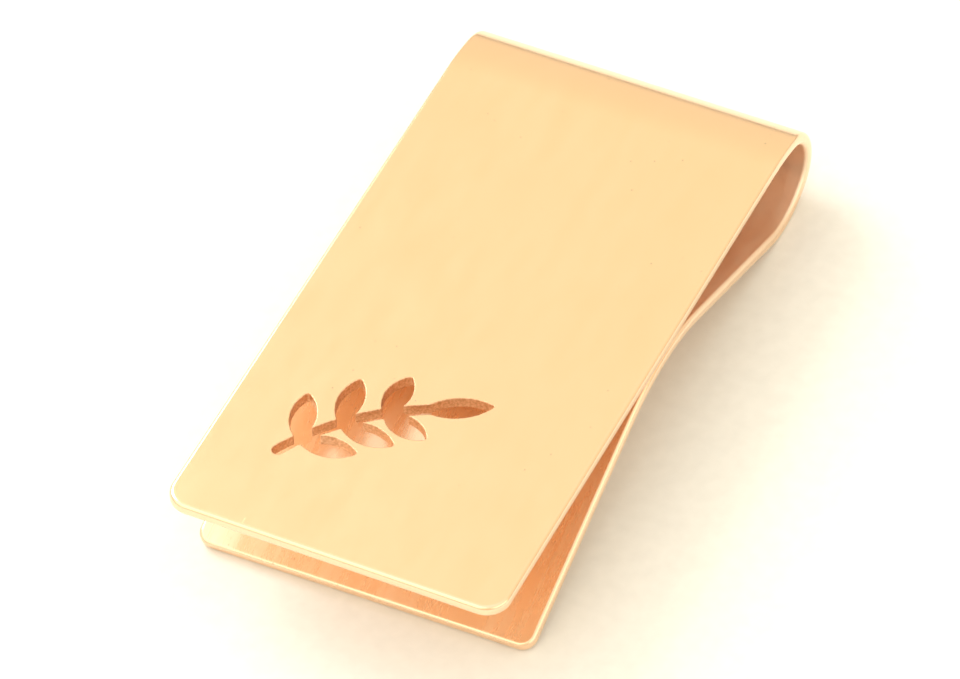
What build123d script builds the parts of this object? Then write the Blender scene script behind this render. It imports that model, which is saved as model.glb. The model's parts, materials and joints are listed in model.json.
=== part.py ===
from build123d import *
import os
from math import atan2, cos, degrees, radians, sin, tan

# A spring money clip: one strip of sheet brass bent into a loop. The rear leaf stands on the table
# on its heel and its tip, and rises between them to a ridge that pinches the notes against the flat
# front leaf. The strip is cut into nodes at its fold lines. The loop flexes about the line on its
# outer face where it stands upright, between the low bend and the high bend.
#
# Frame: +X across the strip, +Y from the leaf tips to the loop, +Z up. Millimetres and degrees.

# Driving dimensions
CLIP_LENGTH = 50.8
STRIP_WIDTH = 25.4
STRIP_THICKNESS = 0.9
EDGE_RADIUS = 0.3

LIP_LENGTH = 17.8
LIP_SLOPE = 18.9
LIP_CORNER_RADIUS = 1.1
LIP_TIP_SKEW = 0.7
RIDGE_RADIUS = 15.5
RAMP_SLOPE = 22.0
HEEL_RADIUS = 5.7
LOW_BEND_ENTRY = 35.0
LOW_BEND_RADIUS = 2.6
HIGH_BEND_RADIUS = 3.4
HIGH_BEND_TURN = 74.0

FRONT_RISE = 1.6
FRONT_CORNER_RADIUS = 1.75
PINCH_GAP = 0.06

SPRIG_PLACE = (-7.4, 7.2)
SPRIG_LEAN = 47.0
STEM_LENGTH = 11.0
STEM_BOW = -0.9
STEM_WIDTH = 0.85
LEAF_WIDTH = 1.8
LEAF_SPREAD = 50.0
LEAF_PAIRS = ((0.14, 4.3), (0.42, 4.3), (0.7, 3.8))
TOP_LEAF_BASE = 0.93
TOP_LEAF_LENGTH = 5.0

HALF = STRIP_THICKNESS / 2


class Station:
    """A cross-section of the strip: the middle of its thickness, and the way the strip runs."""

    def __init__(self, y, z, heading):
        self.y = y
        self.z = z
        self.heading = heading

    def along(self, distance):
        """The point that far ahead along the heading."""
        angle = radians(self.heading)
        return self.y + distance * cos(angle), self.z + distance * sin(angle)

    def inward(self, distance):
        """The point that far from here towards the inside of the loop."""
        angle = radians(self.heading)
        return self.y - distance * sin(angle), self.z + distance * cos(angle)

    def after_run(self, length):
        y, z = self.along(length)
        return Station(y, z, self.heading)

    def after_bend(self, radius, turn):
        """The station after a bend; a positive turn closes the loop, a negative one opens it."""
        side = 1 if turn > 0 else -1
        centre_y, centre_z = self.inward(side * radius)
        angle = radians(self.heading + turn)
        y = centre_y + side * radius * sin(angle)
        z = centre_z - side * radius * cos(angle)
        return Station(y, z, self.heading + turn)

    def section_plane(self):
        angle = radians(self.heading)
        return Plane(origin=(0, self.y, self.z), x_dir=(1, 0, 0), z_dir=(0, cos(angle), sin(angle)))

    def leaf_plane(self, way):
        """The plane of a flat leaf that ends here, with +Y along (1) or against (-1) the heading."""
        angle = radians(self.heading)
        normal = (0, -way * sin(angle), way * cos(angle))
        return Plane(origin=(0, self.y, self.z), x_dir=(1, 0, 0), z_dir=normal)


def strip_section(station):
    return station.section_plane() * RectangleRounded(STRIP_WIDTH, STRIP_THICKNESS, EDGE_RADIUS)


def straight_strip(station, length):
    return extrude(strip_section(station), length)


def bent_strip(station, radius, turn):
    side = 1 if turn > 0 else -1
    centre_y, centre_z = station.inward(side * radius)
    pivot = Axis((0, centre_y, centre_z), (side, 0, 0))
    return revolve(strip_section(station), pivot, abs(turn))


def flat_leaf(length, corner_radius, skew):
    """A leaf lying flat, with its joined end on the X axis and its rounded tip at -length in Y."""
    lean = tan(radians(skew)) * STRIP_WIDTH / 2
    side = STRIP_WIDTH / 2
    outline = Polyline((side, 0), (side, lean - length), (-side, -lean - length), (-side, 0), close=True)
    plan = make_face(outline)
    plan = fillet(plan.vertices().sort_by(Axis.Y)[:2], corner_radius)
    blank = extrude(Pos(0, 0, -HALF) * plan, STRIP_THICKNESS)
    rims = blank.faces().filter_by(Axis.Z).edges()
    free_rims = rims.filter_by(lambda edge: edge.center().Y < -EDGE_RADIUS)
    return fillet(free_rims, EDGE_RADIUS)


def pointed_leaf(length):
    """A leaf shape of two arcs, pointed at both ends, growing along +Y from the origin."""
    swell = LEAF_WIDTH / 2
    right = ThreePointArc((0, 0), (swell, length / 2), (0, length))
    left = ThreePointArc((0, length), (-swell, length / 2), (0, 0))
    return make_face([right, left])


def place_on(stem, share):
    """The place that far along the stem, turned to face the way it grows."""
    point = stem @ share
    way = stem % share
    return Pos(point.X, point.Y) * Rot(0, 0, degrees(atan2(-way.X, way.Y)))


def sprig():
    """The pierced ornament: a bowed stem with a leaf at its top and pairs of leaves below."""
    stem = ThreePointArc((0, 0), (STEM_BOW, STEM_LENGTH / 2), (0, STEM_LENGTH))
    shape = SlotArc(stem, STEM_WIDTH)
    shape += place_on(stem, TOP_LEAF_BASE) * pointed_leaf(TOP_LEAF_LENGTH)
    for share, length in LEAF_PAIRS:
        for spread in (LEAF_SPREAD, -LEAF_SPREAD):
            shape += place_on(stem, share) * Rot(0, 0, spread) * pointed_leaf(length)
    return shape


def front_leaf(station, length):
    leaf = flat_leaf(length, FRONT_CORNER_RADIUS, 0)
    place_x, from_tip = SPRIG_PLACE
    cut_plan = Pos(place_x, from_tip - length, -STRIP_THICKNESS) * Rot(0, 0, -SPRIG_LEAN) * sprig()
    leaf -= extrude(cut_plan, 2 * STRIP_THICKNESS)
    return station.leaf_plane(-1) * leaf


def crown_radius(ridge_centre, start, rise):
    """The radius that carries the front leaf over the ridge with the pinch gap between them."""
    up_y, up_z = sin(radians(rise)), cos(radians(rise))
    ridge_y, ridge_z = ridge_centre
    leaf_height = up_y * ridge_y + up_z * ridge_z + RIDGE_RADIUS + STRIP_THICKNESS + PINCH_GAP
    height_left = leaf_height - up_y * start.y - up_z * start.z
    return height_left / (1 + cos(radians(start.heading + rise)))


def ramp_length(station):
    """The run down the ramp that lets the heel's underside touch the table."""
    drop = HEEL_RADIUS * (1 - cos(radians(RAMP_SLOPE)))
    return (station.z - HALF - drop) / sin(radians(RAMP_SLOPE))


def build_nodes():
    """Walks along the strip from the rear tip, whose underside is on the table, to the front tip."""
    slope = radians(LIP_SLOPE)
    tip_height = EDGE_RADIUS * (1 - sin(slope)) + (HALF - EDGE_RADIUS) * cos(slope)
    tip = Station(0, tip_height, LIP_SLOPE)
    lip_end = tip.after_run(LIP_LENGTH)
    ridge_end = lip_end.after_bend(RIDGE_RADIUS, -LIP_SLOPE - RAMP_SLOPE)
    ramp_end = ridge_end.after_run(ramp_length(ridge_end))
    heel_end = ramp_end.after_bend(HEEL_RADIUS, RAMP_SLOPE + LOW_BEND_ENTRY)
    apex = heel_end.after_bend(LOW_BEND_RADIUS, 90 - LOW_BEND_ENTRY)
    high_end = apex.after_bend(HIGH_BEND_RADIUS, HIGH_BEND_TURN)
    crown = crown_radius(lip_end.inward(-RIDGE_RADIUS), high_end, FRONT_RISE)
    crown_turn = 90 - HIGH_BEND_TURN - FRONT_RISE
    front = high_end.after_bend(crown, crown_turn)
    tip_overhang = (HALF - EDGE_RADIUS) * sin(radians(FRONT_RISE))
    reach = front.y - apex.y - HALF + CLIP_LENGTH
    front_length = (reach - tip_overhang) / cos(radians(FRONT_RISE))
    rear_lip = lip_end.leaf_plane(1) * flat_leaf(LIP_LENGTH, LIP_CORNER_RADIUS, LIP_TIP_SKEW)
    nodes = {
        "rear_lip": rear_lip,
        "pinch_ridge": bent_strip(lip_end, RIDGE_RADIUS, -LIP_SLOPE - RAMP_SLOPE),
        "rear_ramp": straight_strip(ridge_end, ramp_length(ridge_end)),
        "heel": bent_strip(ramp_end, HEEL_RADIUS, RAMP_SLOPE + LOW_BEND_ENTRY),
        "low_bend": bent_strip(heel_end, LOW_BEND_RADIUS, 90 - LOW_BEND_ENTRY),
        "high_bend": bent_strip(apex, HIGH_BEND_RADIUS, HIGH_BEND_TURN),
        "crown": bent_strip(high_end, crown, crown_turn),
        "front_leaf": front_leaf(front, front_length),
    }
    to_middle = Pos(0, CLIP_LENGTH / 2 - HALF - apex.y, 0)
    return {name: to_middle * solid for name, solid in nodes.items()}


os.makedirs("parts", exist_ok=True)
for name, solid in build_nodes().items():
    export_step(solid, f"parts/{name}.step")
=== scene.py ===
import json
import math
import random

import bmesh
import bpy
from mathutils import Matrix, Vector
from mathutils.geometry import delaunay_2d_cdt, intersect_line_line_2d


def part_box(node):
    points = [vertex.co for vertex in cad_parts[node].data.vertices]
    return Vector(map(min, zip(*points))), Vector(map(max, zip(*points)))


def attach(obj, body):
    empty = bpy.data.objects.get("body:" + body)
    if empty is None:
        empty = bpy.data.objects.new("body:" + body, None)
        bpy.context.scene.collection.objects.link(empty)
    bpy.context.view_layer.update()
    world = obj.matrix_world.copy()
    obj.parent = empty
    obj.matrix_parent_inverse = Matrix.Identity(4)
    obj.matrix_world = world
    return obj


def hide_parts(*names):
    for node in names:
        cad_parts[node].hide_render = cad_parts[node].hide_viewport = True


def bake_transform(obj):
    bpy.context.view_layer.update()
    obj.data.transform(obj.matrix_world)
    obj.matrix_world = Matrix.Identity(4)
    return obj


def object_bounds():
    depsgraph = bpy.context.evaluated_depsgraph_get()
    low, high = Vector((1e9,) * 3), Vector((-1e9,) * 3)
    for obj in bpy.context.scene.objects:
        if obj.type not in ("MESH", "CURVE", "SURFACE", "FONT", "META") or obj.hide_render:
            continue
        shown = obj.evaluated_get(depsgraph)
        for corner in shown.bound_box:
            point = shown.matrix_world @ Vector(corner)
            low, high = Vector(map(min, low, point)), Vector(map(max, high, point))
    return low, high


# A spring money clip of satin brass: one strip bent into a loop. The visual model is three pieces
# that meet inside straight runs of the strip: the rear leaf, the sprung loop and the front leaf.
# Shapes are worked out flat, in strip coordinates, and then bent along the strip's middle line:
#   x        across the strip, as in the frame
#   distance along the middle line, from the rear leaf's tip to the front leaf's tip
#   height   across the thickness, positive on the inner face of the loop
# Strip coordinates are in millimetres, and the frame is in metres.

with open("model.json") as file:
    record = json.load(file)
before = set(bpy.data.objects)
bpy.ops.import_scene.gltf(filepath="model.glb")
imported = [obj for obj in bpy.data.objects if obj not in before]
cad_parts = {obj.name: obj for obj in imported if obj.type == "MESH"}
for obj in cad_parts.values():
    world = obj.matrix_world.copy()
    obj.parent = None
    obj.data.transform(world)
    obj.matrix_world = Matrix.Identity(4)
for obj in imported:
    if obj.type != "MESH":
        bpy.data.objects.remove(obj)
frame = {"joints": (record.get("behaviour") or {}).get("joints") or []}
cad_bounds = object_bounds()

MM = 0.001
JOINT = frame["joints"][0]
STRIP_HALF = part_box("crown")[1].x / MM

# The strip, in millimetres and degrees
THICKNESS = 0.9
HALF = THICKNESS / 2
EDGE_RADIUS = 0.3
LIP_LENGTH = 17.8
LIP_SLOPE = 18.9
LIP_CORNER_RADIUS = 1.1
LIP_TIP_SKEW = 0.7
RIDGE_RADIUS = 15.5
RAMP_SLOPE = 22.0
HEEL_RADIUS = 5.7
LOW_BEND_ENTRY = 35.0
LOW_BEND_RADIUS = 2.6
HIGH_BEND_RADIUS = 3.4
HIGH_BEND_TURN = 74.0
FRONT_RISE = 1.6
FRONT_CORNER_RADIUS = 1.75

# How far inside its neighbours' straight runs the loop piece reaches, in millimetres
LOOP_REACH = 0.6

# Fineness of the meshes: degrees of bend to a station, steps in a rounded edge, in a corner and in
# an arc of the sprig, and degrees to a step round the stem's foot
BEND_STEP = 2.0
EDGE_STEPS = 6
CORNER_STEPS = 16
ARC_STEPS = 24
FOOT_STEP = 15
# The flat margin, in millimetres, that keeps a rounding's shading off the flats
MARGIN = 0.04
# Edges that turn by more than this, in degrees, are shaded sharp
SHARP_TURN = 38

# The pierced sprig, in millimetres and degrees, on the front leaf
SPRIG_X = -7.4
SPRIG_FROM_TIP = 7.2
SPRIG_LEAN = 47.0
STEM_LENGTH = 11.0
STEM_BOW = -0.9
STEM_WIDTH = 0.85
LEAF_WIDTH = 1.8
LEAF_SPREAD = 50.0
LEAF_PAIRS = ((0.14, 4.3), (0.42, 4.3), (0.7, 3.8))
TOP_LEAF_BASE = 0.93
TOP_LEAF_LENGTH = 5.0

# The saw cut, with lengths in millimetres: the seed of its unsteadiness, the spacing of the points
# along its outline, how far the blade wandered, how often the outline is relaxed so that no corner
# is sharper than the blade, how many points ahead a moved outline is searched for a crossing of
# itself, the radius and steps of the softened rim, and the rows of faces down the wall
CUT_SEED = 7
CUT_SPACING = 0.1
CUT_WANDER = 0.012
CUT_RELAXING = 2
CUT_LOOP_SEARCH = 30
CUT_RIM_RADIUS = 0.07
CUT_RIM_STEPS = 3
CUT_WALL_ROWS = 5

# Spacing in millimetres of the points inside a pierced face
FACE_GRID = 2.0
# What the triangulation gives back, and how close in millimetres it takes points to be one
ALL_TRIANGLES = 0
INSIDE_TRIANGLES = 1
OUTLINE_TOLERANCE = 1e-5
FACE_TOLERANCE = 1e-6
# Mesh points closer than this, in metres, are one point
SAME_POINT = 1e-7

# Joins between the strip's stretches, counted from the rear tip
RAMP_END = 3
APEX = 5
FRONT_START = 7


# ---- The strip's middle line ----

def node_box(name):
    """A CAD node's lowest and highest corners, in millimetres."""
    low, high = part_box(name)
    return low / MM, high / MM


def run_length(name, slope, overhang):
    """The length of a straight CAD node that lies at a slope, from its box. The overhang is how
    much of the thickness leans out past the ends of the middle line."""
    low, high = node_box(name)
    angle = math.radians(slope)
    return (high.y - low.y - overhang * math.sin(angle)) / math.cos(angle)


def straight(length):
    return length, 0.0


def bend(radius, turn):
    """Length and curvature of a bend; a positive turn closes the loop."""
    return radius * math.radians(abs(turn)), math.copysign(1 / radius, turn)


def onward(y, z, heading, curvature, length):
    """The place and heading that far along a straight or an arc."""
    if curvature == 0:
        return y + length * math.cos(heading), z + length * math.sin(heading), heading
    ahead = heading + curvature * length
    y += (math.sin(ahead) - math.sin(heading)) / curvature
    z -= (math.cos(ahead) - math.cos(heading)) / curvature
    return y, z, ahead


def crown_radius(joint_height):
    """The crown's radius, from its top in the CAD and where the high bend below it ends."""
    start = math.radians(90 + HIGH_BEND_TURN)
    rise = math.radians(FRONT_RISE)
    start_height = joint_height - HIGH_BEND_RADIUS * math.cos(start)
    end_height = node_box("crown")[1].z - HALF * math.cos(rise)
    return (end_height - start_height) / (math.cos(start) + math.cos(rise))


class StripLine:
    """The middle line of the bent strip. The loop's joint fixes where it lies in the frame."""

    def __init__(self):
        joint = Vector(JOINT["pos_m"]) / MM
        crown_turn = 90 - HIGH_BEND_TURN - FRONT_RISE
        self.stretches = [
            straight(LIP_LENGTH),
            bend(RIDGE_RADIUS, -LIP_SLOPE - RAMP_SLOPE),
            straight(run_length("rear_ramp", RAMP_SLOPE, THICKNESS)),
            bend(HEEL_RADIUS, RAMP_SLOPE + LOW_BEND_ENTRY),
            bend(LOW_BEND_RADIUS, 90 - LOW_BEND_ENTRY),
            bend(HIGH_BEND_RADIUS, HIGH_BEND_TURN),
            bend(crown_radius(joint.z), crown_turn),
            straight(run_length("front_leaf", FRONT_RISE, THICKNESS - EDGE_RADIUS)),
        ]
        self.joins = [0.0]
        self.starts = [(0.0, 0.0, math.radians(LIP_SLOPE))]
        for length, curvature in self.stretches:
            self.joins.append(self.joins[-1] + length)
            self.starts.append(onward(*self.starts[-1], curvature, length))
        apex_y, apex_z, _ = self.starts[APEX]
        self.shift = (joint.y - HALF - apex_y, joint.z - apex_z)
        self.ramp_end = self.joins[RAMP_END]
        self.front_start = self.joins[FRONT_START]
        self.length = self.joins[-1]

    def stretch_at(self, distance):
        passed = [i for i in range(len(self.stretches)) if self.joins[i] <= distance]
        return passed[-1] if passed else 0

    def place(self, x, distance, height):
        """The point of the frame, in metres, at a point given in strip coordinates."""
        i = self.stretch_at(distance)
        y, z, heading = onward(*self.starts[i], self.stretches[i][1], distance - self.joins[i])
        y += self.shift[0] - height * math.sin(heading)
        z += self.shift[1] + height * math.cos(heading)
        return Vector((x, y, z)) * MM

    def stations(self, start, end):
        """Distances for cross-sections: close together in bends, and just off the ends of runs."""
        found = {start, end}
        for i, (length, curvature) in enumerate(self.stretches):
            a, b = self.joins[i], self.joins[i + 1]
            turn = math.degrees(abs(curvature) * length)
            count = max(1, math.ceil(turn / BEND_STEP))
            found.update(a + length * k / count for k in range(count + 1))
            if curvature == 0:
                found.update((a + MARGIN, b - MARGIN))
        return sorted(d for d in found if start <= d <= end)


# ---- Outlines in strip coordinates ----

def rim_levels(radius, steps, wall_rows=1):
    """(inset, height) down a rounded rim, from the margin on one face to that on the other."""
    quarter = [math.pi / 2 * k / steps for k in range(steps + 1)]
    upper = [(radius * (1 - math.sin(a)), HALF - radius * (1 - math.cos(a))) for a in quarter]
    wall = 2 * (HALF - radius)
    rows = [(0.0, HALF - radius - wall * k / wall_rows) for k in range(1, wall_rows)]
    lower = [(inset, -height) for inset, height in reversed(upper)]
    top = [(radius + MARGIN, HALF)]
    bottom = [(radius + MARGIN, -HALF)]
    return top + upper + rows + lower + bottom


def corner_arc(centre, radius, first, last):
    """Points of an arc about a centre, from one angle to another, in degrees."""
    found = []
    for k in range(CORNER_STEPS + 1):
        angle = math.radians(first + (last - first) * k / CORNER_STEPS)
        found.append((centre[0] + radius * math.cos(angle), centre[1] + radius * math.sin(angle)))
    return found


def leaf_ring(rows, corner_radius, skew, inset):
    """A leaf's outline, moved in by inset: (x, distance from the tip) from one side of its joined
    end, round the tip and back to the other side."""
    slant = math.radians(skew)
    side = STRIP_HALF - corner_radius
    near, far = ((corner_radius + x * math.sin(slant)) / math.cos(slant) for x in (-side, side))
    edge = STRIP_HALF - inset
    radius = corner_radius - inset
    left = [(-edge, row) for row in rows]
    left += corner_arc((-side, near), radius, 180, 270 + skew)
    right = corner_arc((side, far), radius, 270 + skew, 360)
    right += [(edge, row) for row in reversed(rows)]
    return left + right


def bow_shape(length, bow):
    """The radius of an arc of that length end to end that bows that far, and half its angle."""
    radius = (length * length / 4 + bow * bow) / (2 * bow)
    return radius, math.asin(length / 2 / radius)


def bowed_arc(length, bow, offset=0.0):
    """An arc from the origin up to (0, length) that bows towards +X, moved out by offset."""
    radius, spread = bow_shape(length, bow)
    angles = [spread * (2 * k / ARC_STEPS - 1) for k in range(ARC_STEPS + 1)]
    reach = radius + offset
    return [(bow - radius + reach * math.cos(a), length / 2 + reach * math.sin(a)) for a in angles]


def pointed_leaf(length):
    """A leaf shape of two arcs, pointed at both ends, growing along +Y from the origin."""
    right = bowed_arc(length, LEAF_WIDTH / 2)
    return right + [(-x, y) for x, y in reversed(right[1:-1])]


def stem():
    """The bowed stem, with a round end at the bottom; the top leaf covers its upper end."""
    bow = abs(STEM_BOW)
    outer = bowed_arc(STEM_LENGTH, bow, STEM_WIDTH / 2)
    inner = bowed_arc(STEM_LENGTH, bow, -STEM_WIDTH / 2)
    outer_foot, inner_foot = Vector(outer[0]), Vector(inner[0])
    centre = (outer_foot + inner_foot) / 2
    spoke = inner_foot - centre
    turns = range(FOOT_STEP, 180, FOOT_STEP)
    foot = [centre + Matrix.Rotation(math.radians(turn), 2) @ spoke for turn in turns]
    loop = outer + inner[::-1] + [tuple(p) for p in foot]
    return [(-x, y) for x, y in reversed(loop)]


def on_stem(share, points, spread=0.0):
    """Points moved to a place along the stem and turned to grow the way it does."""
    bow = abs(STEM_BOW)
    radius, half_angle = bow_shape(STEM_LENGTH, bow)
    angle = half_angle * (2 * share - 1)
    base_x = radius - bow - radius * math.cos(angle)
    base = Vector((base_x, STEM_LENGTH / 2 + radius * math.sin(angle)))
    turn = Matrix.Rotation(math.radians(spread) - angle, 2)
    return [tuple(base + turn @ Vector(p)) for p in points]


def sprig_shapes():
    """The outlines that overlap to make the sprig: its stem and its leaves."""
    shapes = [stem(), on_stem(TOP_LEAF_BASE, pointed_leaf(TOP_LEAF_LENGTH))]
    for share, length in LEAF_PAIRS:
        for spread in (LEAF_SPREAD, -LEAF_SPREAD):
            shapes.append(on_stem(share, pointed_leaf(length), spread))
    turn = Matrix.Rotation(math.radians(-SPRIG_LEAN), 2)
    base = Vector((SPRIG_X, SPRIG_FROM_TIP))
    return [[tuple(base + turn @ Vector(p)) for p in shape] for shape in shapes]


def joined_outline(shapes):
    """The one closed outline round overlapping shapes, as an ordered list of points."""
    points = [Vector(p) for shape in shapes for p in shape]
    faces = []
    for shape in shapes:
        first = sum(len(f) for f in faces)
        faces.append(list(range(first, first + len(shape))))
    found = delaunay_2d_cdt(points, [], faces, INSIDE_TRIANGLES, OUTLINE_TOLERANCE)
    corners, _, triangles, *_ = found
    ways = {}
    for triangle in triangles:
        for a, b in zip(triangle, triangle[1:] + triangle[:1]):
            ways[(a, b)] = True
    rim = {a: b for a, b in ways if (b, a) not in ways}
    outline = [min(rim)]
    while rim[outline[-1]] != outline[0]:
        outline.append(rim[outline[-1]])
    return [corners[i] for i in outline]


def evenly_spaced(outline, spacing):
    """A closed outline's points, redrawn at an even spacing."""
    closed = outline + outline[:1]
    lengths = [(b - a).length for a, b in zip(closed, closed[1:])]
    count = round(sum(lengths) / spacing)
    step = sum(lengths) / count
    found, i, passed = [], 0, 0.0
    for k in range(count):
        while passed + lengths[i] < k * step:
            passed += lengths[i]
            i += 1
        found.append(closed[i].lerp(closed[i + 1], (k * step - passed) / lengths[i]))
    return found


def outward_normals(outline):
    """At each point of a closed outline that runs anticlockwise, the way out of it."""
    count = len(outline)
    ways = [(outline[(i + 1) % count] - outline[i - 1]).normalized() for i in range(count)]
    return [Vector((way.y, -way.x)) for way in ways]


def moved_out(outline, normals, distance):
    """A closed outline moved out of itself; where that makes it cross itself, the little loop
    between is drawn together into the crossing point."""
    count = len(outline)
    moved = [point + normal * distance for point, normal in zip(outline, normals)]
    for i in range(count):
        for j in range(i + 2, i + CUT_LOOP_SEARCH):
            a, b, c, d = (moved[k % count] for k in (i, i + 1, j, j + 1))
            crossing = intersect_line_line_2d(a, b, c, d)
            if crossing is not None and (b - a).length > 0 and (d - c).length > 0:
                for k in range(i + 1, j + 1):
                    moved[k % count] = crossing
    return moved


def sawn_outline():
    """The sprig's outline as a saw leaves it: no sharper than the blade, and slightly unsteady."""
    draw = random.Random(CUT_SEED)
    outline = evenly_spaced(joined_outline(sprig_shapes()), CUT_SPACING)
    count = len(outline)
    for _ in range(CUT_RELAXING):
        ahead = outline[1:] + outline[:1]
        outline = [(outline[i - 1] + 2 * outline[i] + ahead[i]) / 4 for i in range(count)]
    normals = outward_normals(outline)
    wander = [draw.uniform(-CUT_WANDER, CUT_WANDER) for _ in range(count)]
    wander = [(wander[i - 1] + wander[i]) / 2 for i in range(count)]
    return [point + normal * shift for point, normal, shift in zip(outline, normals, wander)]


# ---- Meshes ----

class Builder:
    """Collects points in strip coordinates, and faces with their materials, for one piece."""

    def __init__(self):
        self.points = []
        self.faces = []
        self.materials = []

    def ring(self, points):
        """Adds points and gives back their indices."""
        first = len(self.points)
        self.points.extend(points)
        return list(range(first, len(self.points)))

    def face(self, corners, material=0):
        self.faces.append(corners)
        self.materials.append(material)

    def band(self, rings, closed, material=0):
        """Quads between neighbouring rings of equal length."""
        for a, b in zip(rings, rings[1:]):
            for i in range(len(a) if closed else len(a) - 1):
                j = (i + 1) % len(a)
                self.face([a[i], a[j], b[j], b[i]], material)

    def piece(self, name, line, materials):
        """The finished object: bent along the line, with its strip coordinates kept for shading."""
        mesh = bpy.data.meshes.new(name)
        mesh.from_pydata([line.place(*point) for point in self.points], [], self.faces)
        strip = mesh.attributes.new("strip", "FLOAT_VECTOR", "POINT")
        strip.data.foreach_set("vector", [value for point in self.points for value in point])
        for material in materials:
            mesh.materials.append(material)
        mesh.polygons.foreach_set("material_index", self.materials)
        work = bmesh.new()
        work.from_mesh(mesh)
        bmesh.ops.remove_doubles(work, verts=work.verts, dist=SAME_POINT)
        bmesh.ops.recalc_face_normals(work, faces=work.faces)
        work.to_mesh(mesh)
        work.free()
        mesh.shade_smooth()
        mesh.set_sharp_from_angle(angle=math.radians(SHARP_TURN))
        obj = bpy.data.objects.new(name, mesh)
        bpy.context.scene.collection.objects.link(obj)
        return obj


def leaf_rims(builder, rows, corner_radius, skew, to_distance):
    """The rounded edge of a leaf and the flat cap at its joined end; gives back its rings."""
    rings = []
    for inset, height in rim_levels(EDGE_RADIUS, EDGE_STEPS):
        outline = leaf_ring(rows, corner_radius, skew, inset)
        rings.append(builder.ring([(x, to_distance(away), height) for x, away in outline]))
    builder.band(rings, closed=False)
    builder.face([ring[0] for ring in rings] + [ring[-1] for ring in reversed(rings)])
    return rings


def build_rear_leaf(line, materials):
    """Lip, ridge and ramp: full-width quads from station to station, and one face at the tip."""
    builder = Builder()
    seam = line.ramp_end - LOOP_REACH
    rows = [d for d in line.stations(0, seam) if d > 2 * LIP_CORNER_RADIUS][::-1]
    rings = leaf_rims(builder, rows, LIP_CORNER_RADIUS, LIP_TIP_SKEW, lambda away: away)
    for ring in (rings[0], rings[-1]):
        last = len(ring) - 1
        for i in range(len(rows) - 1):
            builder.face([ring[i], ring[i + 1], ring[last - i - 1], ring[last - i]])
        builder.face(ring[len(rows) - 1 : last - len(rows) + 2])
    return builder.piece("rear_leaf_skin", line, materials)


def build_loop(line, materials):
    """Heel, bends and crown: one section swept along the line, and capped at both ends."""
    builder = Builder()
    levels = rim_levels(EDGE_RADIUS, EDGE_STEPS)
    right = [(STRIP_HALF - inset, height) for inset, height in levels]
    section = right + [(-x, height) for x, height in reversed(right)]
    stations = line.stations(line.ramp_end - LOOP_REACH, line.front_start + LOOP_REACH)
    rings = [builder.ring([(x, station, height) for x, height in section]) for station in stations]
    builder.band(rings, closed=True)
    builder.face(rings[0])
    builder.face(rings[-1])
    return builder.piece("spring_loop_skin", line, materials)


def anticlockwise(ring, points):
    """The ring's indices in the order that runs anticlockwise, as the triangulation needs."""
    closed = ring + ring[:1]
    area = sum(points[a].cross(points[b]) for a, b in zip(closed, closed[1:]))
    return ring if area > 0 else ring[::-1]


def pierced_face(builder, outer, hole):
    """A flat face between an outer ring and a hole, with a grid of points to even it out."""
    known = outer + hole
    flat = [Vector(builder.points[i][:2]) for i in known]
    height = builder.points[outer[0]][2]
    xs = [p.x for p in flat]
    ys = [p.y for p in flat]
    loops = [list(range(len(outer))), list(range(len(outer), len(flat)))]
    loops = [anticlockwise(loop, flat) for loop in loops]
    across = int((max(xs) - min(xs)) / FACE_GRID)
    along = int((max(ys) - min(ys)) / FACE_GRID)
    grid = [
        Vector((min(xs) + (i + 0.5) * FACE_GRID, min(ys) + (j + 0.5) * FACE_GRID))
        for i in range(across)
        for j in range(along)
    ]
    found = delaunay_2d_cdt(flat + grid, [], loops, ALL_TRIANGLES, FACE_TOLERANCE)
    corners, _, faces, origins, _, owners = found
    index = []
    for corner, origin in zip(corners, origins):
        kept = [i for i in origin if i < len(known)]
        index.append(known[kept[0]] if kept else builder.ring([(corner.x, corner.y, height)])[0])
    for face, owner in zip(faces, owners):
        if 0 in owner and 1 not in owner:
            builder.face([index[i] for i in face])


def build_front_leaf(line, materials):
    """The flat leaf, rounded at its tip and pierced with the sprig."""
    builder = Builder()
    seam = line.front_start + LOOP_REACH
    tip = line.length
    rings = leaf_rims(builder, [tip - seam], FRONT_CORNER_RADIUS, 0, lambda away: tip - away)
    outline = sawn_outline()
    normals = outward_normals(outline)
    cut = []
    for inset, height in rim_levels(CUT_RIM_RADIUS, CUT_RIM_STEPS, CUT_WALL_ROWS):
        moved = moved_out(outline, normals, inset) if inset > 0 else outline
        cut.append(builder.ring([(p.x, tip - p.y, height) for p in moved]))
    builder.band(cut[:2], closed=True)
    builder.band(cut[1:-1], closed=True, material=1)
    builder.band(cut[-2:], closed=True)
    pierced_face(builder, rings[0], cut[0])
    pierced_face(builder, rings[-1], cut[-1])
    return builder.piece("front_leaf_skin", line, materials)


# ---- Materials ----

# Reflected colours of the brass as (place on a ramp, colour): the outer faces, the worn inner face,
# the inside of the loop, painted paler there as light, the pits, and the saw cut, painted darker
# and redder there as shade. The last are the card's.
OUTER_TINTS = ((0.3, (0.965, 0.70, 0.475)), (0.55, (0.97, 0.71, 0.49)), (0.8, (0.975, 0.695, 0.47)))
WORN_TINTS = ((0.34, (0.95, 0.675, 0.46)), (0.5, (0.965, 0.70, 0.49)), (0.66, (0.975, 0.74, 0.54)))
LOOP_PAINTED_LIGHT_TINTS = ((0.35, (0.965, 0.765, 0.61)), (0.65, (0.98, 0.79, 0.64)))
PIT_TINTS = ((0.3, (0.72, 0.49, 0.33)), (0.7, (0.80, 0.56, 0.38)))
CUT_PAINTED_SHADE_TINTS = ((0.3, (0.62, 0.34, 0.19)), (0.55, (0.80, 0.48, 0.29)), (0.75, (0.90, 0.62, 0.42)))
CARD_TINTS = ((0.3, (0.86, 0.86, 0.86)), (0.7, (0.9, 0.9, 0.9)))

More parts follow.
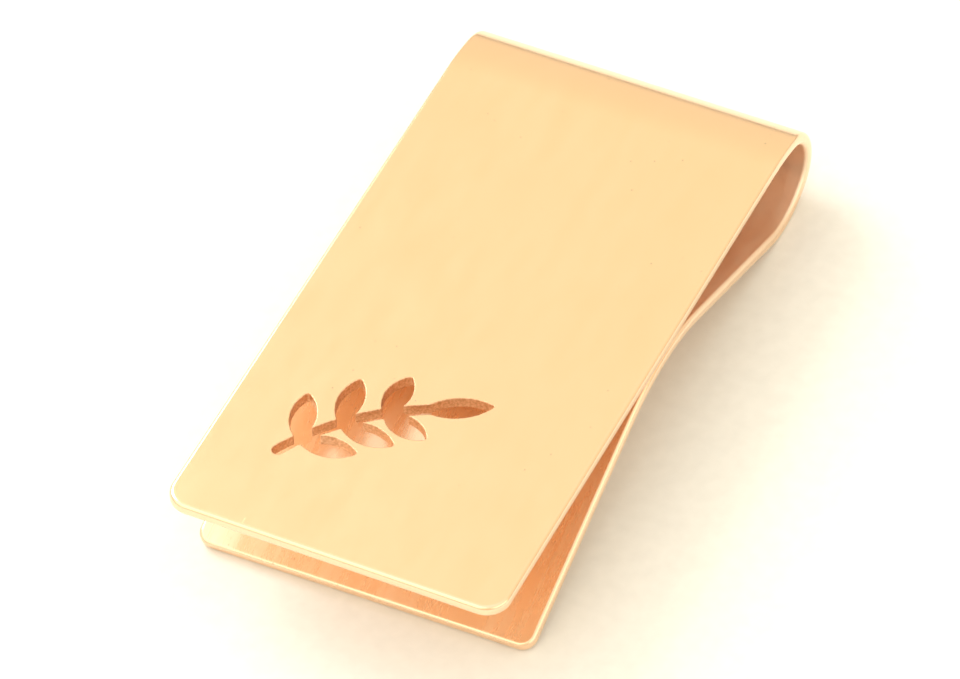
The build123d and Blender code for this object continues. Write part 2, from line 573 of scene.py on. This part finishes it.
# Fineness of each texture per millimetre: across the strip, along it and through it
BRUSHING_SCALE = (16.0, 0.6, 16.0)
GRAIN_SCALE = (9.0, 6.0, 9.0)
CLOUD_SCALE = (0.16, 0.1, 0.16)
SMEAR_SCALE = (0.8, 0.22, 0.8)
BROAD_WEAR_SCALE = (0.9, 0.12, 0.9)
FINE_WEAR_SCALE = (4.0, 0.7, 4.0)
PIT_SCALE = (0.9, 0.7, 0.9)
SCRATCH_SCALE = (2.6, 0.11, 2.6)
SCORING_SCALE = (11.0, 11.0, 0.7)
CRUMB_SCALE = (6.0, 6.0, 6.0)
# Fineness of the card's fibre, per metre
FIBRE_SCALE = 900.0

# Depths of the relief, in metres
BRUSHING_DEPTH = 1.0e-6
GRAIN_DEPTH = 1.1e-6
WEAR_DEPTH = 6.0e-6
SCRATCH_DEPTH = 3.0e-6
PIT_DEPTH = 4.0e-6
SCORING_DEPTH = 16.0e-6
CRUMB_DEPTH = 10.0e-6
FIBRE_DEPTH = 20.0e-6

# Roughness: of the sheen, what the brushing, the wear and the loop's inside add to it, of the saw
# cut and of the card
SHEEN_ROUGHNESS = (0.19, 0.24)
BRUSHING_ROUGHNESS = (-0.02, 0.02)
WORN_ROUGHNESS = (-0.02, 0.14)
LOOP_ROUGHNESS = 0.2
SCORING_ROUGHNESS = (0.42, 0.62)
CARD_ROUGHNESS = 0.8

# Ranges from nothing to all: heights of the inner face and distances of the loop's inside, both in
# millimetres, and how far from its middle a pit or a scratch fades out
NOTHING_TO_ALL = (0.0, 1.0)
INNER_HEIGHTS = (0.1, HALF)
LOOP_DISTANCES = (22.0, 32.0)
PIT_FADE = (0.07, 0.02)
SCRATCH_FADE = (0.035, 0.012)
# The middle part of a noise's values, and of the worn streaks', which holds nearly all of them
NOISE_SPAN = (0.3, 0.7)
WEAR_SPAN = (0.35, 0.65)
# The share of the broad patches in the wear, and of the clouds in the outer faces' tone
BROAD_SHARE = 0.55
CLOUD_SHARE = 0.7


def new_material(name):
    """A node material; gives back the material, its node tree and its Principled shader."""
    material = bpy.data.materials.new(name)
    material.use_nodes = True
    tree = material.node_tree
    return material, tree, tree.nodes["Principled BSDF"]


def strip_coordinates(tree):
    """Strip coordinates, in millimetres, as the mesh carries them."""
    node = tree.nodes.new("ShaderNodeAttribute")
    node.attribute_name = "strip"
    return node.outputs["Vector"]


def scaled_strip(tree, scale):
    """Strip coordinates stretched by a factor each way."""
    mapping = tree.nodes.new("ShaderNodeMapping")
    mapping.inputs["Scale"].default_value = scale
    tree.links.new(strip_coordinates(tree), mapping.inputs["Vector"])
    return mapping.outputs["Vector"]


def strip_place(tree):
    """The distance along the strip and the height across its thickness, in millimetres."""
    split = tree.nodes.new("ShaderNodeSeparateXYZ")
    tree.links.new(strip_coordinates(tree), split.inputs["Vector"])
    return split.outputs["Y"], split.outputs["Z"]


def noise(tree, vector, scale=1.0, detail=3.0, roughness=0.5):
    node = tree.nodes.new("ShaderNodeTexNoise")
    node.inputs["Scale"].default_value = scale
    node.inputs["Detail"].default_value = detail
    node.inputs["Roughness"].default_value = roughness
    tree.links.new(vector, node.inputs["Vector"])
    return node.outputs["Fac"]


def spots(tree, vector):
    """Distance to the nearest of a scatter of points."""
    node = tree.nodes.new("ShaderNodeTexVoronoi")
    node.inputs["Scale"].default_value = 1.0
    node.inputs["Randomness"].default_value = 1.0
    tree.links.new(vector, node.inputs["Vector"])
    return node.outputs["Distance"]


def between(tree, value, span, result):
    """A value's span of (start, end) carried over to the result's, and held at both ends."""
    node = tree.nodes.new("ShaderNodeMapRange")
    for name, number in zip(("From Min", "From Max", "To Min", "To Max"), (*span, *result)):
        node.inputs[name].default_value = number
    tree.links.new(value, node.inputs["Value"])
    return node.outputs["Result"]


def combine(tree, operation, a, b):
    """The sum or product of two values, either of which may be a plain number."""
    node = tree.nodes.new("ShaderNodeMath")
    node.operation = operation
    for socket, value in zip(node.inputs, (a, b)):
        if isinstance(value, (int, float)):
            socket.default_value = value
        else:
            tree.links.new(value, socket)
    return node.outputs[0]


def shared(tree, first, second, share):
    """Two values added up, the first with its share and the second with the rest."""
    part = combine(tree, "MULTIPLY", first, share)
    rest = combine(tree, "MULTIPLY", second, 1 - share)
    return combine(tree, "ADD", part, rest)


def colours(tree, value, stops):
    """A ramp of colours; stops are (position, (red, green, blue))."""
    node = tree.nodes.new("ShaderNodeValToRGB")
    ramp = node.color_ramp
    while len(ramp.elements) < len(stops):
        ramp.elements.new(0.5)
    for element, (position, colour) in zip(ramp.elements, stops):
        element.position = position
        element.color = (*colour, 1.0)
    tree.links.new(value, node.inputs["Fac"])
    return node.outputs["Color"]


def mixed(tree, share, first, second):
    """The first colour, turning into the second as share goes from 0 to 1."""
    node = tree.nodes.new("ShaderNodeMix")
    node.data_type = "RGBA"
    tree.links.new(share, node.inputs["Factor"])
    tree.links.new(first, node.inputs["A"])
    tree.links.new(second, node.inputs["B"])
    return node.outputs["Result"]


def bump(tree, height, depth, under=None):
    """Relief of that depth in metres, laid over the relief below it."""
    node = tree.nodes.new("ShaderNodeBump")
    node.inputs["Strength"].default_value = 1.0
    node.inputs["Distance"].default_value = depth
    tree.links.new(height, node.inputs["Height"])
    if under is not None:
        tree.links.new(under, node.inputs["Normal"])
    return node.outputs["Normal"]


def worn_streaks(tree):
    """Streaks along the strip where notes have slid, closer together across it than along it."""
    broad = noise(tree, scaled_strip(tree, BROAD_WEAR_SCALE), detail=2.0)
    fine = noise(tree, scaled_strip(tree, FINE_WEAR_SCALE), detail=6.0, roughness=0.75)
    return shared(tree, broad, fine, BROAD_SHARE)


def satin_brass():
    """Sheet brass, finely brushed along the strip; its inner face is worn, and dull in the loop,
    where painted light makes it paler.
    """
    material, tree, shader = new_material("satin_brass")
    distance, height = strip_place(tree)
    inner = between(tree, height, INNER_HEIGHTS, NOTHING_TO_ALL)
    past_ridge = between(tree, distance, LOOP_DISTANCES, NOTHING_TO_ALL)
    in_loop = combine(tree, "MULTIPLY", inner, past_ridge)

    brushing = noise(tree, scaled_strip(tree, BRUSHING_SCALE), detail=4.0, roughness=0.6)
    grain = noise(tree, scaled_strip(tree, GRAIN_SCALE), detail=2.0)
    clouds = noise(tree, scaled_strip(tree, CLOUD_SCALE), detail=2.0)
    smears = noise(tree, scaled_strip(tree, SMEAR_SCALE), detail=3.0)
    wear = worn_streaks(tree)
    pits = between(tree, spots(tree, scaled_strip(tree, PIT_SCALE)), PIT_FADE, NOTHING_TO_ALL)
    scratch_distance = spots(tree, scaled_strip(tree, SCRATCH_SCALE))
    scratches = between(tree, scratch_distance, SCRATCH_FADE, NOTHING_TO_ALL)

    outer_tint = colours(tree, shared(tree, clouds, smears, CLOUD_SHARE), OUTER_TINTS)
    worn_tint = colours(tree, wear, WORN_TINTS)
    # Inside the loop the inner face takes a paler tint: painted light, not a change in the brass.
    inner_tint = mixed(tree, in_loop, worn_tint, colours(tree, smears, LOOP_PAINTED_LIGHT_TINTS))
    clean_tint = mixed(tree, inner, outer_tint, inner_tint)
    tint = mixed(tree, pits, clean_tint, colours(tree, smears, PIT_TINTS))
    tree.links.new(tint, shader.inputs["Base Color"])
    shader.inputs["Metallic"].default_value = 1.0

    sheen = between(tree, smears, NOISE_SPAN, SHEEN_ROUGHNESS)
    streaks = between(tree, brushing, NOISE_SPAN, BRUSHING_ROUGHNESS)
    worn = combine(tree, "MULTIPLY", inner, between(tree, wear, WEAR_SPAN, WORN_ROUGHNESS))
    dull = combine(tree, "MULTIPLY", in_loop, LOOP_ROUGHNESS)
    outer_rough = combine(tree, "ADD", sheen, streaks)
    rough = combine(tree, "ADD", outer_rough, combine(tree, "ADD", worn, dull))
    tree.links.new(rough, shader.inputs["Roughness"])

    relief = bump(tree, brushing, BRUSHING_DEPTH)
    relief = bump(tree, grain, GRAIN_DEPTH, relief)
    relief = bump(tree, combine(tree, "MULTIPLY", wear, inner), WEAR_DEPTH, relief)
    relief = bump(tree, scratches, SCRATCH_DEPTH, relief)
    relief = bump(tree, pits, PIT_DEPTH, relief)
    tree.links.new(relief, shader.inputs["Normal"])
    return material


def sawn_brass_painted_shade():
    """The wall that the piercing saw left: duller, scored across the thickness, and painted darker
    and redder as shade.
    """
    material, tree, shader = new_material("sawn_brass_painted_shade")
    scoring = noise(tree, scaled_strip(tree, SCORING_SCALE), detail=4.0, roughness=0.7)
    crumbs = noise(tree, scaled_strip(tree, CRUMB_SCALE), detail=3.0)
    # The cut's darker, redder tint is painted shade on the narrow walls of the piercing.
    tree.links.new(colours(tree, crumbs, CUT_PAINTED_SHADE_TINTS), shader.inputs["Base Color"])
    shader.inputs["Metallic"].default_value = 1.0
    rough = between(tree, scoring, NOISE_SPAN, SCORING_ROUGHNESS)
    tree.links.new(rough, shader.inputs["Roughness"])
    relief = bump(tree, scoring, SCORING_DEPTH)
    relief = bump(tree, crumbs, CRUMB_DEPTH, relief)
    tree.links.new(relief, shader.inputs["Normal"])
    return material


def table_card():
    """Smooth white card under the clip."""
    material, tree, shader = new_material("white_card")
    source = tree.nodes.new("ShaderNodeTexCoord")
    fibre = noise(tree, source.outputs["Object"], scale=FIBRE_SCALE, detail=4.0)
    tree.links.new(colours(tree, fibre, CARD_TINTS), shader.inputs["Base Color"])
    shader.inputs["Roughness"].default_value = CARD_ROUGHNESS
    tree.links.new(bump(tree, fibre, FIBRE_DEPTH), shader.inputs["Normal"])
    return material


# ---- Stage ----

# The floor's side, in metres
FLOOR_SIZE = 3.0

# The camera: angles in degrees, distances in metres, and the lens and sensor in millimetres
CAMERA_AZIMUTH = 28.95
CAMERA_ELEVATION = 49.14
CAMERA_ROLL = -4.40
CAMERA_DISTANCE = 0.56891
CAMERA_LENS = 308.04
CAMERA_SENSOR = 36.0
CAMERA_AIM = (-0.00108, -0.00022, 0.004)
CAMERA_CLIP_START = 0.01

# Soft lights: name, azimuth, elevation, distance, size, power in watts and colour
LIGHTS = (
    ("window", 250, 38, 0.4, (0.25, 0.2), 0.8, (1.0, 1.0, 1.0)),
    ("fill", 325, 45, 0.7, (0.9, 0.8), 1.4, (1.0, 0.98, 0.92)),
    ("side", 80, 28, 0.7, (0.8, 0.5), 0.8, (1.0, 0.97, 0.92)),
)
LIGHTS_AIM = (0, 0, 0)
LIGHT_BOUNCES = 24

# Brightness of the room by the sine of the elevation
SKY_STRENGTH = 1.5
SKY = (
    (0.0, (0.26, 0.21, 0.18)),
    (0.05, (0.30, 0.24, 0.20)),
    (0.11, (0.95, 0.81, 0.61)),
    (0.25, (1.05, 0.92, 0.68)),
    (0.55, (1.06, 0.94, 0.68)),
    (0.72, (1.12, 1.01, 0.72)),
    (0.90, (1.20, 1.16, 0.98)),
    (1.00, (1.24, 1.20, 1.08)),
)


def build_floor():
    """A plain square of card, level with the lowest point of the CAD."""
    mesh = bpy.data.meshes.new("floor")
    reach = FLOOR_SIZE / 2
    level = cad_bounds[0].z
    plan = ((-reach, -reach), (reach, -reach), (reach, reach), (-reach, reach))
    mesh.from_pydata([(x, y, level) for x, y in plan], [], [(0, 1, 2, 3)])
    mesh.materials.append(table_card())
    floor = bpy.data.objects.new("floor", mesh)
    bpy.context.scene.collection.objects.link(floor)


def facing(azimuth, elevation, roll=0.0):
    """Axes of something that looks at the clip from an azimuth and elevation, as a matrix."""
    turn = Matrix.Rotation(math.radians(azimuth), 3, "Z")
    tilt = Matrix.Rotation(math.radians(90 - elevation), 3, "X")
    spin = Matrix.Rotation(math.radians(roll), 3, "Z")
    return turn @ tilt @ spin


def look_from(obj, aim, azimuth, elevation, distance, roll=0.0):
    """Places a camera or light at a distance from a point, looking at it."""
    axes = facing(azimuth, elevation, roll)
    obj.location = Vector(aim) + distance * axes.col[2]
    obj.rotation_euler = axes.to_euler()


def build_camera():
    camera = bpy.data.objects.new("camera", bpy.data.cameras.new("camera"))
    camera.data.sensor_fit = "HORIZONTAL"
    camera.data.sensor_width = CAMERA_SENSOR
    camera.data.lens = CAMERA_LENS
    camera.data.clip_start = CAMERA_CLIP_START
    angles = (CAMERA_AZIMUTH, CAMERA_ELEVATION)
    look_from(camera, CAMERA_AIM, *angles, CAMERA_DISTANCE, CAMERA_ROLL)
    bpy.context.scene.collection.objects.link(camera)
    bpy.context.scene.camera = camera


def soft_light(name, azimuth, elevation, distance, size, power, colour):
    light = bpy.data.lights.new(name, "AREA")
    light.shape = "RECTANGLE"
    light.size, light.size_y = size
    light.energy = power
    light.color = colour
    obj = bpy.data.objects.new(name, light)
    look_from(obj, LIGHTS_AIM, azimuth, elevation, distance)
    bpy.context.scene.collection.objects.link(obj)


def build_surroundings():
    """A pale room: dim and warm near the horizon, and brighter and whiter overhead."""
    world = bpy.data.worlds.new("pale_room")
    bpy.context.scene.world = world
    world.use_nodes = True
    tree = world.node_tree
    source = tree.nodes.new("ShaderNodeTexCoord")
    split = tree.nodes.new("ShaderNodeSeparateXYZ")
    tree.links.new(source.outputs["Generated"], split.inputs["Vector"])
    sky = [(height, tuple(value / SKY_STRENGTH for value in colour)) for height, colour in SKY]
    background = tree.nodes["Background"]
    tree.links.new(colours(tree, split.outputs["Z"], sky), background.inputs["Color"])
    background.inputs["Strength"].default_value = SKY_STRENGTH


def build_lights():
    for light in LIGHTS:
        soft_light(*light)


def set_view():
    """Plain colour, and enough bounces for the light that runs back and forth inside the loop."""
    scene = bpy.context.scene
    scene.view_settings.view_transform = "Standard"
    scene.cycles.max_bounces = LIGHT_BOUNCES
    scene.cycles.glossy_bounces = LIGHT_BOUNCES


def build_clip():
    """The three pieces; the rear and front leaves on the bodies that they move with."""
    line = StripLine()
    satin = satin_brass()
    rear = build_rear_leaf(line, [satin])
    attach(rear, "rear")
    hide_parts("rear_lip", "pinch_ridge", "rear_ramp")
    front = build_front_leaf(line, [satin, sawn_brass_painted_shade()])
    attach(front, "front")
    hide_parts("front_leaf")
    loop = build_loop(line, [satin])
    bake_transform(loop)
    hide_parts("heel", "low_bend", "high_bend", "crown")


build_camera()
build_clip()
build_floor()
build_surroundings()
build_lights()
set_view()
